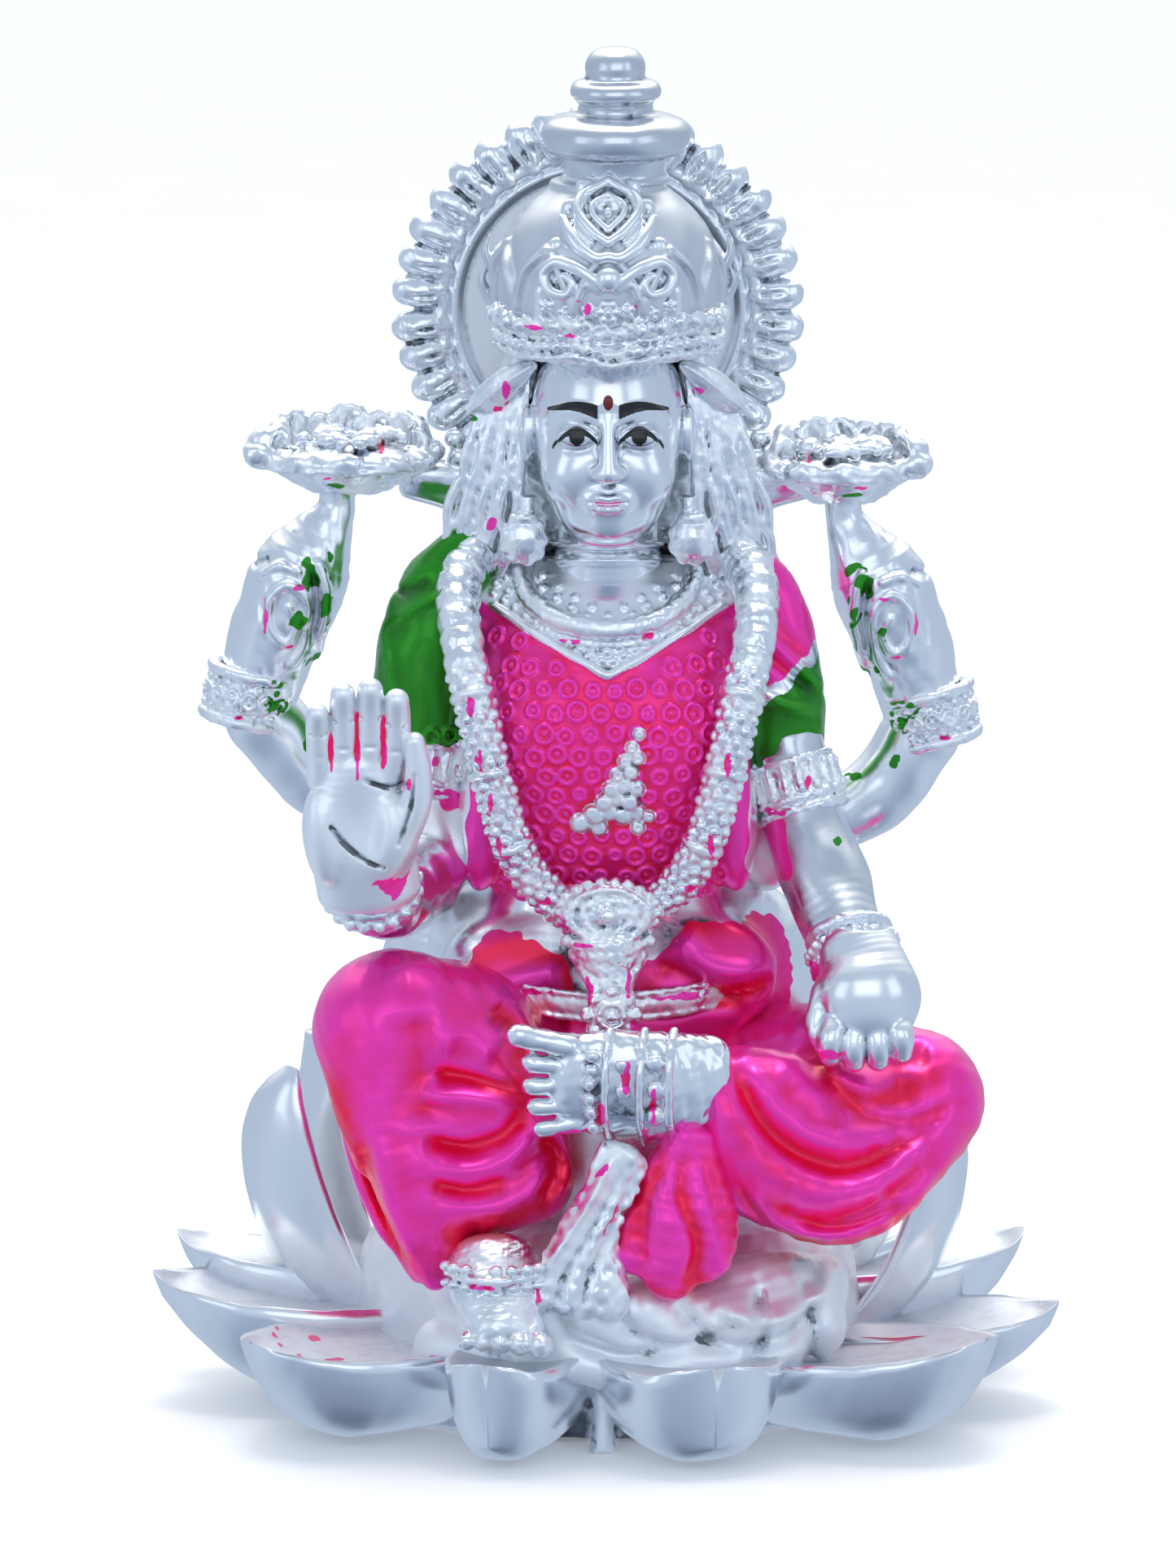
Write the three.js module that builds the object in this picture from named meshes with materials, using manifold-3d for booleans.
// Seated four-armed deity statuette on an open lotus: plated cast figure with lacquered garments.
// Millimetres, +Z up. The figure faces -Y, its own right hand is on the -X side, and the origin is the
// centre of the flat underside. Every sculpted element is its own closed piece, cut clear of its neighbours.
import * as THREE from "three";
import { mergeVertices } from "three/addons/utils/BufferGeometryUtils.js";
import Module from "manifold-3d";

const wasm = await Module();
wasm.setup();

// Driving dimensions.
const HEIGHT = 120; // underside to the tip of the finial
const HALF_SPAN = 39.8; // centre to the tips of the side petals
const FRONT_REACH = 30.5; // centre to the rim of the front petals
const BACK_REACH = 27; // centre to the rim of the back petals
const SEAT_TOP = 17;
const HALO_RADIUS = 17.9;
const HALO_CENTRE = [-0.4, 10.3, 95.4];
const GAP = 0.48; // free space between neighbouring pieces
const COARSEST = 0.14; // how far a finished face may stray from the shape it was cut from

// Looks.
const SILVER = new THREE.MeshStandardMaterial({ color: 0xdfe4ee, roughness: 0.22, metalness: 1 });
const PINK = new THREE.MeshStandardMaterial({ color: 0xd81b74, roughness: 0.3, metalness: 0.55 });
const GREEN = new THREE.MeshStandardMaterial({ color: 0x1d7d0e, roughness: 0.28, metalness: 0.5 });

const v = (x, y, z) => new THREE.Vector3(x, y, z);
const lerp = THREE.MathUtils.lerp;
const rad = THREE.MathUtils.degToRad;

// ---- Closed solids ------------------------------------------------------------------------------

// A three.js geometry as a solid.
function solid(geometry) {
  geometry.deleteAttribute("normal");
  geometry.deleteAttribute("uv");
  const merged = mergeVertices(geometry, 1e-4);
  return new wasm.Manifold(
    new wasm.Mesh({
      numProp: 3,
      vertProperties: merged.attributes.position.array,
      triVerts: new Uint32Array(merged.index.array),
    }),
  );
}

const join = (...solids) => solids.reduce((a, b) => a.add(b));

// A skin over a row of rings, closed at both ends. Each ring runs anticlockwise seen from the next ring.
function skin(rings) {
  const count = rings[0].length;
  const points = rings.flat();
  const index = [];
  for (let r = 0; r + 1 < rings.length; r++)
    for (let i = 0; i < count; i++) {
      const a = r * count + i;
      const b = r * count + ((i + 1) % count);
      index.push(a, b, a + count, b, b + count, a + count);
    }
  const last = (rings.length - 1) * count;
  for (const [ring, start, turn] of [[rings[0], 0, 1], [rings.at(-1), last, 0]]) {
    const centre = ring.reduce((sum, p) => sum.add(p), v(0, 0, 0)).divideScalar(count);
    points.push(centre);
    for (let i = 0; i < count; i++) {
      const a = start + ((i + turn) % count);
      const b = start + ((i + 1 - turn) % count);
      index.push(points.length - 1, a, b);
    }
  }
  const geometry = new THREE.BufferGeometry().setFromPoints(points);
  geometry.setIndex(index);
  return solid(geometry);
}

// The value of an evenly spaced list at t from 0 to 1.
function along(list, t) {
  const at = t * (list.length - 1);
  const low = Math.min(Math.floor(at), list.length - 2);
  return lerp(list[low], list[low + 1], at - low);
}

// An ellipsoid, grown by g on every side.
function ball([x, y, z], [rx, ry, rz], g = 0, sides = 10) {
  const geometry = new THREE.SphereGeometry(1, sides, Math.round(sides * 0.6));
  geometry.rotateX(Math.PI / 2);
  geometry.scale(rx + g, ry + g, rz + g);
  geometry.translate(x, y, z);
  return solid(geometry);
}

// A round-ended limb through a list of points. wide stretches the section across, at right angles to up.
function limb(path, radii, g = 0, { wide = 1, up = [0, 0, 1], sides = 8, steps = 4 } = {}) {
  const curve = new THREE.CatmullRomCurve3(path.map((p) => v(...p)), false, "centripetal");
  const upward = v(...up).normalize();
  const ring = (t, past, share) => {
    const r = along(radii, t) + g;
    const forward = curve.getTangent(t);
    const across = forward.clone().cross(upward).normalize();
    const rise = forward.clone().cross(across);
    const centre = curve.getPoint(t).addScaledVector(forward, past * r);
    return Array.from({ length: sides }, (_, i) => {
      const turn = (2 * Math.PI * i) / sides;
      return centre
        .clone()
        .addScaledVector(across, share * (r * wide) * Math.cos(turn))
        .addScaledVector(rise, share * r * Math.sin(turn));
    });
  };
  const rounding = [62, 26].map(rad);
  const rings = rounding.map((a) => ring(0, -Math.sin(a), Math.cos(a)));
  for (let i = 0; i <= steps; i++) rings.push(ring(i / steps, 0, 1));
  rounding.reverse().forEach((a) => rings.push(ring(1, Math.sin(a), Math.cos(a))));
  return skin(rings);
}

// Level elliptical sections [z, x, y, half width, half depth], from the bottom up.
function stack(sections, g = 0, sides = 16) {
  const last = sections.length - 1;
  return skin(
    sections.map(([z, x, y, rx, ry], level) =>
      Array.from({ length: sides }, (_, i) => {
        const turn = (2 * Math.PI * i) / sides;
        const lift = level === 0 ? -g : level === last ? g : 0;
        return v(x + (rx + g) * Math.cos(turn), y + (ry + g) * Math.sin(turn), z + lift);
      }),
    ),
  );
}

// A turned piece, stretched by oval in Y. Its profile points [radius, z] run from the bottom of the axis to
// its top, or round a closed loop for a ring.
function turned(profile, [x, y, z], g = 0, { oval = 1, sides = 20, tilt = 0 } = {}) {
  const radii = profile.map((p) => p[0]);
  const heights = profile.map((p) => p[1]);
  const middle = (Math.min(...heights) + Math.max(...heights)) / 2;
  const half = (Math.max(...heights) - Math.min(...heights)) / 2;
  const bore = (Math.min(...radii) + Math.max(...radii)) / 2;
  const isRing = Math.min(...radii) > 0;
  const grown = profile.map(([r, h]) => {
    const outward = isRing && r < bore ? -g : g;
    return new THREE.Vector2(r > 0 ? r + outward : 0, middle + (h - middle) * (1 + g / half));
  });
  const geometry = new THREE.LatheGeometry(grown, sides);
  geometry.rotateX(Math.PI / 2 + tilt);
  geometry.scale(1, oval, 1);
  geometry.translate(x, y, z);
  return solid(geometry);
}

// A band around a limb: a ring with a rounded section, its axis along the given direction.
function band([x, y, z], axis, radius, thick, high, g = 0, sides = 14) {
  const outer = radius + thick + g;
  const inner = radius - g;
  const half = high / 2 + g;
  const edge = thick * 0.4;
  const profile = [
    [inner, -half], [outer - edge, -half], [outer, 0], [outer - edge, half], [inner, half], [inner, -half],
  ].map(([r, h]) => new THREE.Vector2(r, h));
  const geometry = new THREE.LatheGeometry(profile, sides);
  geometry.applyQuaternion(new THREE.Quaternion().setFromUnitVectors(v(0, 1, 0), v(...axis).normalize()));
  geometry.translate(x, y, z);
  return solid(geometry);
}

// ---- Lotus base ---------------------------------------------------------------------------------

// The reach of the base in a direction, on an oval that is deeper at the front than at the back.
function reach(degrees) {
  const a = rad(degrees);
  const depth = Math.sin(a) < 0 ? FRONT_REACH : BACK_REACH;
  return 1 / Math.hypot(Math.cos(a) / HALF_SPAN, Math.sin(a) / depth);
}

// A point given by direction, distance and height, with a step to the left of that direction.
function polar(degrees, distance, z, aside = 0) {
  const a = rad(degrees);
  return v(
    distance * Math.cos(a) - aside * Math.sin(a),
    distance * Math.sin(a) + aside * Math.cos(a),
    z,
  );
}

// A boat-shaped outer petal: a convex hull below, a shallow dish above, blunt towards the tip.
const PETAL_STEPS = 6;
const PETAL_ACROSS = 4;
function petal({ at, half, rim, tip, keel, nose = 0.16, short = 1, dish = 1.6 }, g = 0) {
  const root = 0.42 * reach(at);
  const end = reach(at) * short;
  const rings = [];
  for (let s = 0; s <= PETAL_STEPS; s++) {
    const t = 1 - (1 - s / PETAL_STEPS) ** 1.5;
    const blunt = Math.sqrt(1 - Math.max(0, (t - 0.35) / 0.65) ** 2.6);
    const width = half * Math.max(lerp(0.72, 1, Math.min(1, t / 0.4)) * blunt, nose) + g;
    const top = lerp(rim, tip, t ** 1.6);
    const bottom = lerp(0.4, top - 0.9, Math.max(0, (t - keel) / (1 - keel)) ** 1.8);
    const distance = lerp(root, end, t) + (s === PETAL_STEPS ? g : s === 0 ? -g : 0);
    const ring = [];
    for (let i = 0; i <= PETAL_ACROSS; i++) {
      const u = (2 * i) / PETAL_ACROSS - 1;
      const sag = dish * (1 - u * u) * Math.min(1, width / half);
      ring.push(polar(at, distance, top - Math.min(sag, (top - bottom) * 0.5) + g, width * u));
    }
    for (let i = PETAL_ACROSS - 1; i > 0; i--) {
      const u = (2 * i) / PETAL_ACROSS - 1;
      const depth = (top - bottom) * (1 - Math.abs(u) ** 2.6);
      ring.push(polar(at, distance, Math.max(top - depth - g, 0.4 - g), width * u));
    }
    rings.push(ring.reverse());
  }
  return skin(rings);
}

// An inner petal that stands up around the seat, curled about its own spine.
function uprightPetal({ at, high, half, lean = 1 }, g = 0) {
  const scale = reach(at) / HALF_SPAN;
  const spine = new THREE.CatmullRomCurve3([
    v(20 * scale, 0, 5), v(26.5 * scale * lean, 0, 11), v(29.6 * scale * lean, 0, 19),
    v(29.2 * scale * lean, 0, lerp(19, high, 0.6)), v(27.6 * scale * lean, 0, high),
  ]);
  const steps = 5;
  const around = 8;
  const rings = [];
  for (let s = 0; s <= steps; s++) {
    const t = s / steps;
    const width = Math.max(half * Math.sin(Math.PI * lerp(0.3, 0.985, t)) ** 0.8, 0.5) + g;
    const thick = lerp(1.5, 0.6, t) + g;
    const forward = spine.getTangent(t);
    const outward = v(forward.z, 0, -forward.x);
    const centre = spine.getPoint(t).addScaledVector(forward, s === 0 ? -g : s === steps ? g : 0);
    rings.push(
      Array.from({ length: around }, (_, i) => {
        const turn = (2 * Math.PI * i) / around;
        const aside = width * Math.cos(turn);
        const out = thick * Math.sin(turn) - 0.055 * aside * aside;
        const p = centre.clone().addScaledVector(outward, out);
        return polar(at, p.x, p.z, aside);
      }).reverse(),
    );
  }
  return skin(rings);
}

// The seed-head seat: flat underside, pod sides and a cushion of gathered cloth at the front.
function lotusSeat(g) {
  return join(
    stack([[0, 0, 0, 21, 17.5], [1.2, 0, 0, 22.5, 19], [8, 0, 0, 22.5, 18.5], [13, 0, -0.5, 22, 17.5],
      [SEAT_TOP - 1.2, 0, -1, 20.5, 16], [SEAT_TOP, 0, -1, 17, 13]], g, 20),
    limb([[-3, -19, 10], [9, -21.5, 10.5], [19, -18, 11]], [3.6, 4.2, 3.4], g),
  );
}

// ---- Body ---------------------------------------------------------------------------------------

const hips = (g) =>
  stack([[SEAT_TOP + 0.4, 0, 2, 14, 10], [22, 0, 1.5, 16, 11.5], [30, 0, 1, 14.5, 10.5],
    [36, 0, 0.6, 12.6, 9], [42, 0, 0.6, 11.2, 8], [44.6, 0, 0.6, 10.8, 7.6]], g);

const blouse = (g) =>
  stack([[45.2, 0, 0.4, 10.8, 7.6], [49, 0, 0, 11.4, 8.2], [55, 0, -0.4, 12.8, 9.2], [61, 0, -0.6, 13.6, 9.8],
    [67, 0, 0, 14, 8.6], [70.6, 0, 0.8, 13.6, 7.4], [73.6, 0, 1.4, 11, 5.6]], g);

const neck = (g) => stack([[74, 0, 0.6, 5.8, 4.6], [76, 0, 0, 4.6, 4.4], [80.4, 0, -0.6, 4.4, 4.4]], g);

const head = (g) =>
  join(
    stack([[77.8, 0, -5.4, 2.2, 1.9], [79, 0, -5, 3.9, 4], [81.4, 0, -4, 5.5, 6], [84.6, 0, -3, 6.4, 7.2],
      [88.4, 0, -2.2, 6.7, 7.8], [92.4, 0, -1.8, 6.6, 7.8], [95.4, 0, -1.4, 5.9, 7]], g),
    limb([[0, -10.1, 88.6], [0, -11.3, 85.6]], [0.7, 1.15], g, { sides: 6, steps: 2 }),
  );

// The hair: a fall down the back of the head and neck, and a lock to each shoulder.
function hair(g) {
  const lock = (side) =>
    limb([[side * 7.2, 0.8, 92], [side * 8.8, 1.4, 86], [side * 10.2, 1.8, 80.5], [side * 11.6, 2, 76.2]],
      [2.2, 2.9, 3.1, 2.6], g, { steps: 4 });
  const fall = stack([[70, 0, 7.6, 6, 2], [76, 0, 5.4, 8.2, 3.4], [84, 0, 4.4, 8.6, 4.4],
    [92, 0, 4.2, 7.6, 4.6], [96, 0, 4.2, 6, 4.2]], g);
  return join(fall, lock(-1), lock(1));
}

const earring = (side) => (g) => ball([side * 7.3, -4.4, 77.4], [1.9, 1.8, 2.2], g);

// ---- Crown and halo -----------------------------------------------------------------------------

const crownDome = (g) =>
  turned([[0, 0], [9.2, 0], [9.8, 2.2], [9.7, 5], [8.9, 8.2], [7.2, 11], [5.2, 12.8], [4.7, 13.6], [0, 13.6]],
    [0, -0.6, 95.8], g, { oval: 0.95 });

const crownBand = (g) =>
  turned([[7.6, 0], [10.2, 0], [11, 1], [11, 2.6], [10.2, 3.4], [7.6, 3.4], [7.6, 0]], [0, -0.6, 93.4], g,
    { oval: 0.97 });

// The upright crest on the crown's brow: a bow-shaped tier with a pointed leaf above it.
function crownCrest(g) {
  const front = -10.9;
  return join(
    ball([0, front, 101.4], [2, 1.2, 1.9], g),
    ball([-3.6, front + 0.9, 101.8], [2.6, 1.2, 1.8], g),
    ball([3.6, front + 0.9, 101.8], [2.6, 1.2, 1.8], g),
    limb([[0, front + 0.4, 98], [0, front, 101]], [1.2, 1.2], g, { wide: 2.6, steps: 2 }),
    limb([[0, front, 102.6], [0, front + 1.4, 105.2], [0, front + 3.4, 108]], [1.1, 1.2, 0.7], g,
      { wide: 2.2, up: [0, -1, 0.4], steps: 2 }),
  );
}

const crownFinial = (g) =>
  turned([[0, 0], [5.2, 0], [4.7, 1.1], [6.2, 1.3], [6.9, 2.4], [6.3, 3.8], [3.5, 4.6], [3.5, 6], [4, 6.9],
    [3.4, 7.9], [2.4, 8.2], [2.3, 9.2], [1.6, 10.1], [0, HEIGHT - 109.8]], [0.3, -0.4, 109.8], g,
    { sides: 16 });

const haloPlate = (g) =>
  turned([[0, -1.2], [12.6, -1.2], [13.2, -0.8], [13.2, 0.9], [12.4, 1.2], [11.6, 0.5], [0, 0.5]],
    HALO_CENTRE, g, { sides: 24, tilt: -Math.PI / 2 });

// The plate with a web on each side that ties it and the blooms back to the shoulders.
function haloDisc(g) {
  const web = (side) =>
    join(
      limb([[side * 7.6, 8.6, 76], [side * 11.4, 8.2, 79.8], [side * 16.4, 6.8, 80.8]], [2.2, 1.8, 1.4], g),
      limb([[side * 10.6, 8.4, 79], [side * 9.4, 9.8, 86]], [1.7, 1.3], g, { up: [0, 1, 0], steps: 2 }),
    );
  return join(haloPlate(g), web(-1), web(1));
}

// The ray ring: a flat ring with a scalloped edge, one round lobe to each ray.
const RAYS = 28;
function haloRays(g) {
  const valley = HALO_RADIUS - 1.7 + g;
  const outline = new THREE.Shape();
  for (let i = 0; i < RAYS; i++)
    for (let k = 0; k < 3; k++) {
      const turn = (2 * Math.PI * (i + k / 3)) / RAYS;
      const r = valley + (k === 0 ? 0 : 1.7);
      outline[i + k === 0 ? "moveTo" : "lineTo"](r * Math.cos(turn), r * Math.sin(turn));
    }
  outline.closePath();
  outline.holes.push(new THREE.Path().absarc(0, 0, 13.5 - g, 0, 2 * Math.PI, true));
  const thick = 2.4 + 2 * g;
  const geometry = new THREE.ExtrudeGeometry(outline, {
    depth: thick,
    curveSegments: 14,
    bevelEnabled: false,
  });
  geometry.rotateX(Math.PI / 2);
  geometry.translate(HALO_CENTRE[0], HALO_CENTRE[1] + thick / 2, HALO_CENTRE[2]);
  return solid(geometry);
}

// ---- Arms ---------------------------------------------------------------------------------------

const sleeveRight = (g) =>
  limb([[-12.4, 1, 73], [-15.4, 0.6, 68.4], [-16.2, 0, 62.4], [-15.2, -0.4, 59]], [3.4, 4.6, 4.8, 4], g,
    { up: [0, 1, 0], sides: 10 });

const sleeveLeft = (g) =>
  limb([[12, 1, 73], [14.4, 0.6, 68], [15.4, 0, 61], [15.2, -0.6, 57]], [3.2, 4, 4.2, 3.8], g,
    { up: [0, 1, 0], sides: 10 });

const armRight = (g) =>
  limb([[-15.2, -0.6, 60], [-16, -1.8, 53], [-17, -4.4, 47.6], [-19, -12, 47.2], [-20.6, -18.6, 49.4]],
    [3.3, 3.5, 3.6, 3.2, 2.7], g, { up: [1, 0, 0], sides: 10, steps: 6 });

const armLeft = (g) =>
  limb([[15.4, -1, 58], [17.2, -2.4, 52.4], [19.4, -6, 47.4], [20.8, -10, 43.6], [21.8, -13, 41]],
    [3.2, 3.5, 3.6, 3.1, 2.8], g, { up: [1, 0, 0], sides: 10, steps: 6 });

const armletRight = (g) => band([-15.5, -0.9, 56.2], [0.13, 0.16, 1], 3.5, 1.1, 3.6, g);
const armletLeft = (g) => band([16.2, -1.5, 54.6], [-0.32, 0.26, 1], 3.6, 1.1, 3.8, g);
const braceletRight = (g) => band([-20.4, -17.4, 48.9], [0.24, 0.93, -0.3], 2.8, 1, 3, g);
const braceletLeft = (g) => band([21.3, -11.6, 42.2], [-0.22, 0.68, 0.7], 3, 1.1, 3.2, g);

// The open right hand, palm forward in blessing: a cupped palm, four upright fingers and a thumb.
function handRight(g) {
  const [x, y, z] = [-21.9, -21.6, 56];
  const fingers = [[-3.6, 65.2, 1.05], [-1.3, 67.2, 1.2], [1.2, 67.4, 1.2], [3.5, 65.8, 1.1]];
  return join(
    limb([[x + 0.6, y + 0.6, 51.4], [x, y, 54], [x, y - 0.2, 59]], [2.4, 2.7, 2.1], g,
      { wide: 1.75, up: [0, 1, 0], sides: 10 }),
    limb([[x + 3.4, y, 53.4], [x + 4.8, y - 1.2, 57], [x + 4.7, y - 1.6, 60.6]], [1.6, 1.3, 1.1], g,
      { up: [1, 0, 0] }),
    ...fingers.map(([dx, top, r]) =>
      limb([[x + dx * 0.86, y, z], [x + dx, y - 0.3, lerp(z, top, 0.6)], [x + dx, y - 1.4, top]],
        [r, r, r * 0.85], g,
        { up: [0, 1, 0], sides: 6, steps: 2 })),
  );
}

// The left hand, closed and resting on the knee.
function handLeft(g) {
  const knuckles = [[-3.6, 0.4], [-1.3, 0], [1.1, 0], [3.3, 0.5]];
  return join(
    limb([[22, -14.4, 40.8], [22.4, -16.4, 37.6], [22.6, -17.4, 36]], [2.6, 3.2, 2.8], g,
      { wide: 1.5, up: [0, 1, 0.4], sides: 10, steps: 3 }),
    ...knuckles.map(([dx, back]) =>
      limb([[22.6 + dx, -17.6 + back, 37], [22.8 + dx * 0.9, -19 + back, 34.6]], [1.5, 1.3], g,
        { up: [1, 0, 0], sides: 6, steps: 2 })),
  );
}

// The rear arms, one each side: out from behind the shoulder, up past an armlet to a hand that holds a bloom.
const REAR = {
  right: {
    upper: [[-13, 4.6, 53.6], [-20, 5, 53], [-26, 5, 54.6], [-30.4, 5, 59.6]],
    fore: [[-31.6, 5, 63.2], [-31.6, 4.8, 67.6], [-29.8, 4.6, 72.4], [-26.8, 4.6, 75.8]],
    wrist: [[-26.2, 4.6, 76.6], [-24.6, 4.8, 79.4]],
    armlet: [[-31.5, 5, 61.6], [0.2, 0, 1]],
    bloom: [-22.8, 4.8, 83.6],
    bloomRadius: 9,
  },
  left: {
    upper: [[13, 4.6, 51.4], [20, 5, 50.6], [24.8, 5, 53.4], [28, 5, 58.2]],
    fore: [[28.6, 5, 61.4], [28.4, 4.8, 66.2], [26.6, 4.6, 71.6], [23.8, 4.6, 75]],
    wrist: [[23.2, 4.6, 75.8], [21.6, 4.8, 78.8]],
    armlet: [[28.5, 5, 59.8], [-0.2, 0, 1]],
    bloom: [20.6, 4.8, 82.6],
    bloomRadius: 7.2,
  },
};
const rearUpper = (side) => (g) =>
  limb(REAR[side].upper, [3.1, 3.4, 3.5, 3.6], g, { up: [0, 1, 0], sides: 10, steps: 5 });
const rearFore = (side) => (g) =>
  join(
    limb(REAR[side].fore, [3.5, 4, 3.6, 2.8], g, { up: [0, 1, 0], sides: 10, steps: 5 }),
    limb(REAR[side].wrist, [2.4, 2.2], g, { up: [0, 1, 0], steps: 2 }),
  );
const rearArmlet = (side) => (g) => band(...REAR[side].armlet, 3.9, 0.9, 3.8, g, 20);

// The lotus bloom in a rear hand: a shallow bowl with a domed seed head and round petal lobes about its rim.
function bloom(side) {
  return (g) => {
    const [x, y, z] = REAR[side].bloom;
    const r = REAR[side].bloomRadius;
    const rim = r * 0.86;
    const profile = [[0, -3.6], [rim * 0.4, -3.4], [rim * 0.9, -1.2], [rim, 0.4], [rim * 0.7, 1.5], [0, 2.2]];
    const bowl = turned(profile, [x, y, z], g, { oval: 0.62, sides: 14 });
    const lobes = Array.from({ length: 6 }, (_, i) => {
      const a = rad(-20 + 44 * i);
      return ball([x + r * 0.78 * Math.cos(a), y + r * 0.5 * Math.sin(a), z + 1.7], [2.2, 1.4, 2.1], g, 8);
    });
    return join(bowl, ...lobes);
  };
}

// ---- Garments and ornaments ---------------------------------------------------------------------

const necklace = (g) => {
  const geometry = new THREE.TorusGeometry(8.4, 1.4 + g, 6, 20);
  geometry.rotateX(rad(27));
  geometry.translate(0, -1.8, 73);
  return join(solid(geometry), ball([0, -10.2, 67.6], [1.9, 1.3, 1.9], g, 12));
};

// One thick rope from shoulder to shoulder, meeting low on the waist.
function garland(g) {
  const half = (side) =>
    limb([[side * 10.8, 1.6, 76], [side * 13.2, -4, 73], [side * 12.2, -8.6, 67.6], [side * 10.4, -10.2, 61],
      [side * 8.6, -10.2, 54], [side * 6.6, -9.4, 48.6], [side * 3.2, -8.8, 45], [0, -8.6, 44]],
      [2, 2.1, 2.1, 2, 2, 1.9, 1.7, 1.6], g, { up: [0, 1, 0.3], sides: 7, steps: 9 });
  return join(half(-1), half(1));
}

const medallion = (g) => ball([0, -11, 45.4], [3.8, 1.7, 2.7], g);

const GIRDLE = { inner: 10.8, outer: 13.8, half: 1.2 };
const girdle = (g) => {
  const { inner, outer, half } = GIRDLE;
  const edge = outer - 0.6;
  const profile = [[inner, -half], [edge, -half], [outer, 0], [edge, half], [inner, half], [inner, -half]];
  return turned(profile, [0, 0.4, 37.4], g, { oval: 0.78 });
};

const sash = (g) =>
  join(
    limb([[0, -10.6, 43.6], [0.2, -11.6, 40], [0.3, -13.6, 37.4]], [1.5, 1.3, 1.2], g,
      { wide: 1.9, up: [0, -1, 0.3], steps: 3 }),
    ball([0.3, -14.6, 37.2], [2.4, 1.5, 2.2], g),
  );

// The sash's tail below the crossed foot, falling over the front of the seat.
const sashTail = (g) =>
  limb([[2.4, -24, 26.4], [0.6, -24.6, 22], [-1.6, -24.8, 17.6], [-2.6, -25, 14.4]], [1.2, 1.5, 1.9, 2], g,
    { wide: 1.7, up: [0, -1, 0.1] });

// The lacquered cloth over the right leg, whose knee is raised and whose shin hangs to the front.
function drapeRight(g) {
  return join(
    limb([[-7.6, 0, 27.4], [-13.4, -9, 33.4], [-19.4, -17.6, 37.4]], [8, 7.4, 5.6], g,
      { sides: 10, steps: 5 }),
    limb([[-19.4, -17.8, 37.4], [-17.4, -19.6, 28.6], [-14, -20.4, 21], [-12.8, -20.6, 17.2]],
      [5.4, 5, 4.4, 3.2], g, { wide: 1.25, up: [0, 1, 0], sides: 10, steps: 5 }),
    ball([-9.6, -15.4, 26.4], [8.4, 7, 7.6], g, 12),
  );
}

// The lacquered cloth over the left leg, which is folded flat with its shin across the lap.
function drapeLeft(g) {
  return join(
    limb([[8, 0, 26.4], [19, -5.6, 29.6], [28.6, -9.6, 30.2]], [8, 7, 5.4], g, { sides: 10, steps: 5 }),
    limb([[28.6, -10.6, 29.4], [19, -15.6, 28], [10, -17.6, 29]], [5.2, 5.6, 5.4], g,
      { sides: 10, steps: 5 }),
    limb([[25.6, -12.6, 24.4], [17, -16.4, 22.4], [9.4, -17, 24.4]], [3.8, 5.4, 5], g,
      { sides: 10, steps: 5, wide: 1.1 }),
  );
}

const drapeTail = (g) =>
  limb([[7, -22.8, 26.4], [7.4, -23.8, 21], [6.6, -24.4, 16.4]], [1.6, 2, 1.7], g,
    { wide: 2.6, up: [0, -1, 0] });

// The crossed left foot, toes towards the right side, instep forward.
function footLeft(g) {
  const toes = [[37, 1.15, -7.4], [34.7, 0.95, -7], [32.8, 0.9, -6.9], [31, 0.85, -6.6], [29.3, 0.85, -6]];
  return join(
    limb([[6.6, -21.4, 32.2], [2, -22.4, 32.4], [-2.8, -22.8, 33]], [2.5, 2.5, 2.2], g,
      { wide: 1.8, up: [0, -1, 0], sides: 10 }),
    ...toes.map(([z, r, x]) =>
      limb([[-2.6, -22.8, lerp(z, 33, 0.12)], [x, -23.2, z]], [r, r], g, { sides: 6, steps: 1 })),
  );
}

// The right foot, planted on the front petal with its toes forward.
function footRight(g) {
  const toes = [[-5.3, 1.2], [-7.3, 1], [-9, 0.9], [-10.6, 0.85], [-12, 0.8]];
  return join(
    limb([[-10, -22.4, 15.4], [-9.2, -24.6, 13.6], [-8.8, -27.4, 12.2]], [2.6, 2.6, 1.7], g,
      { wide: 1.6, sides: 10, steps: 3 }),
    ...toes.map(([x, r], i) =>
      limb([[lerp(x, -8.8, 0.15), -27, 11.8], [x, -29.4 + 0.35 * i, 11.3]], [r, r], g,
        { sides: 6, steps: 1 })),
  );
}

const ankletLeft = (g) => ball([2.6, -22, 32.4], [2, 3.4, 5.3], g);
const ankletRight = (g) => ball([-9.7, -23.4, 16.6], [4.9, 3.7, 1.3], g);

// ---- Assembly -----------------------------------------------------------------------------------

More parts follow.
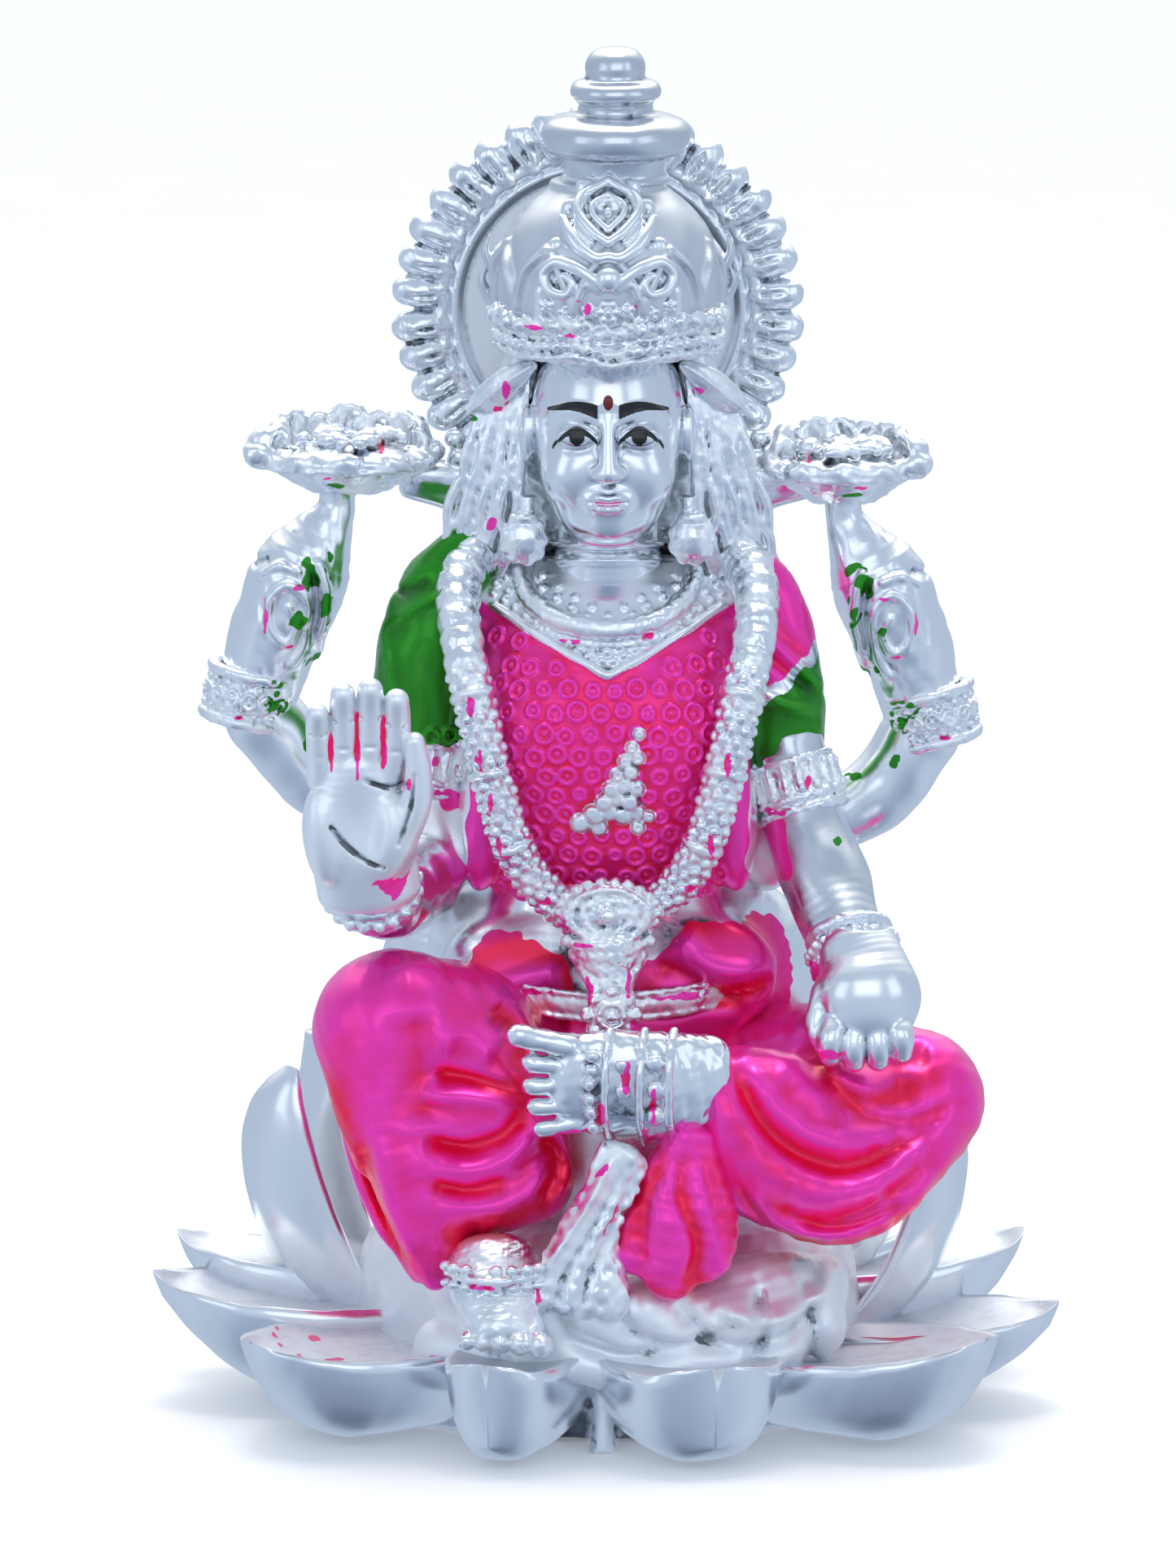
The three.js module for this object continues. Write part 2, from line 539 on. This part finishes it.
// Outer petals in order round the base; at is the direction in degrees, 0 towards +X and -90 to the front.
const PETALS = {
  front_right: { at: -106, half: 6, rim: 9.4, tip: 9.8, keel: 0.7, nose: 0.6, short: 0.985 },
  front_left: { at: -72, half: 7.2, rim: 9.2, tip: 9.6, keel: 0.7, nose: 0.6, short: 0.985 },
  broad_right: { at: -144, half: 9.8, rim: 9, tip: 9.8, keel: 0.5, nose: 0.2 },
  broad_left: { at: -36, half: 10.4, rim: 8.8, tip: 8.8, keel: 0.5, nose: 0.2, short: 1.06 },
  side_right: { at: 184, half: 8.6, rim: 9, tip: 11, keel: 0.3 },
  side_left: { at: -8, half: 8.6, rim: 8.8, tip: 8.8, keel: 0.3 },
  rear_side_right: { at: 169, half: 6.4, rim: 10.6, tip: 12.2, keel: 0.25, short: 0.985 },
  rear_side_left: { at: 15, half: 6.8, rim: 10.4, tip: 11.8, keel: 0.25, short: 0.985 },
  rear_corner_right: { at: 151, half: 6.6, rim: 11, tip: 13.8, keel: 0.3 },
  rear_corner_left: { at: 34, half: 6.8, rim: 10.8, tip: 12.6, keel: 0.3 },
  back_right: { at: 120, half: 9, rim: 9.6, tip: 11, keel: 0.4 },
  back_left: { at: 62, half: 9, rim: 9.6, tip: 11, keel: 0.4 },
};
const UPRIGHT_PETALS = {
  right_front: { at: 178, high: 28.4, half: 5.6 },
  right_rear: { at: 158, high: 29.6, half: 5.4 },
  left_front: { at: 2, high: 27, half: 5.6 },
  left_rear: { at: 24, high: 27.6, half: 5.4 },
  back_right: { at: 122, high: 27.6, half: 7.6, lean: 0.94 },
  back_left: { at: 60, high: 27.2, half: 7.6, lean: 0.94 },
};

// Every piece with its material, from the core outwards: each is cut clear of those before it.
const PIECES = [
  ["lotus_seat", SILVER, lotusSeat],
  ["hips", SILVER, hips],
  ["blouse", PINK, blouse],
  ["head", SILVER, (g) => join(neck(g), head(g))],
  ["right_foot", SILVER, (g) => join(footRight(g), ankletRight(g))],
  ["left_foot", SILVER, (g) => join(footLeft(g), ankletLeft(g))],
  ["right_arm", SILVER, armRight],
  ["left_arm", SILVER, armLeft],
  ["right_hand", SILVER, handRight],
  ["left_hand", SILVER, handLeft],
  ["right_sleeve", GREEN, sleeveRight],
  ["left_sleeve", GREEN, sleeveLeft],
  ["right_armlet", SILVER, armletRight],
  ["left_armlet", SILVER, armletLeft],
  ["right_bracelet", SILVER, braceletRight],
  ["left_bracelet", SILVER, braceletLeft],
  ["girdle", SILVER, girdle],
  ["waist_sash", SILVER, (g) => join(medallion(g), sash(g))],
  ["right_leg_drape", PINK, drapeRight],
  ["left_leg_drape", PINK, drapeLeft],
  ["drape_tail", PINK, drapeTail],
  ["sash_tail", SILVER, sashTail],
  ["crown_dome", SILVER, crownDome],
  ["crown_finial", SILVER, crownFinial],
  ["crown_band", SILVER, crownBand],
  ["crown_crest", SILVER, crownCrest],
  ["necklace", SILVER, necklace],
  ["garland", SILVER, garland],
  ["right_earring", SILVER, earring(-1)],
  ["left_earring", SILVER, earring(1)],
  ["hair", SILVER, hair],
  ["halo_disc", SILVER, haloDisc],
  ["halo_rays", SILVER, haloRays],
  ...["right", "left"].flatMap((side) => [
    [`rear_${side}_upper_arm`, SILVER, rearUpper(side)],
    [`rear_${side}_forearm`, SILVER, rearFore(side)],
    [`rear_${side}_armlet`, SILVER, rearArmlet(side)],
    [`rear_${side}_bloom`, SILVER, bloom(side)],
  ]),
  ...Object.entries(UPRIGHT_PETALS).map(([name, shape]) => [
    `upright_petal_${name}`, SILVER, (g) => uprightPetal(shape, g),
  ]),
  ...Object.entries(PETALS).map(([name, shape]) => [`petal_${name}`, SILVER, (g) => petal(shape, g)]),
];

const overlap = (a, b) =>
  [0, 1, 2].every((k) => a.min[k] < b.max[k] && b.min[k] < a.max[k]);

// The piece cut clear of every earlier neighbour. Only its main body is kept: where one lotus petal laps over
// another, the cut leaves a loose sliver of its lip lying on the neighbour, which is dropped.
function cutClear(make, earlier) {
  let piece = make(0);
  for (const other of earlier)
    if (overlap(piece.boundingBox(), other.boundingBox())) piece = piece.subtract(other);
  return piece.asOriginal().simplify(COARSEST).decompose().sort((a, b) => b.volume() - a.volume())[0];
}

function meshOf(piece, material, name) {
  const { vertProperties, triVerts } = piece.getMesh();
  const geometry = new THREE.BufferGeometry();
  geometry.setAttribute("position", new THREE.BufferAttribute(vertProperties, 3));
  geometry.setIndex(new THREE.BufferAttribute(triVerts, 1));
  geometry.computeVertexNormals();
  const mesh = new THREE.Mesh(geometry, material);
  mesh.name = name;
  return mesh;
}

const statuette = new THREE.Group();
const placed = [];
for (const [name, material, make] of PIECES) {
  statuette.add(meshOf(cutClear(make, placed), material, name));
  placed.push(make(GAP));
}

export default statuette;
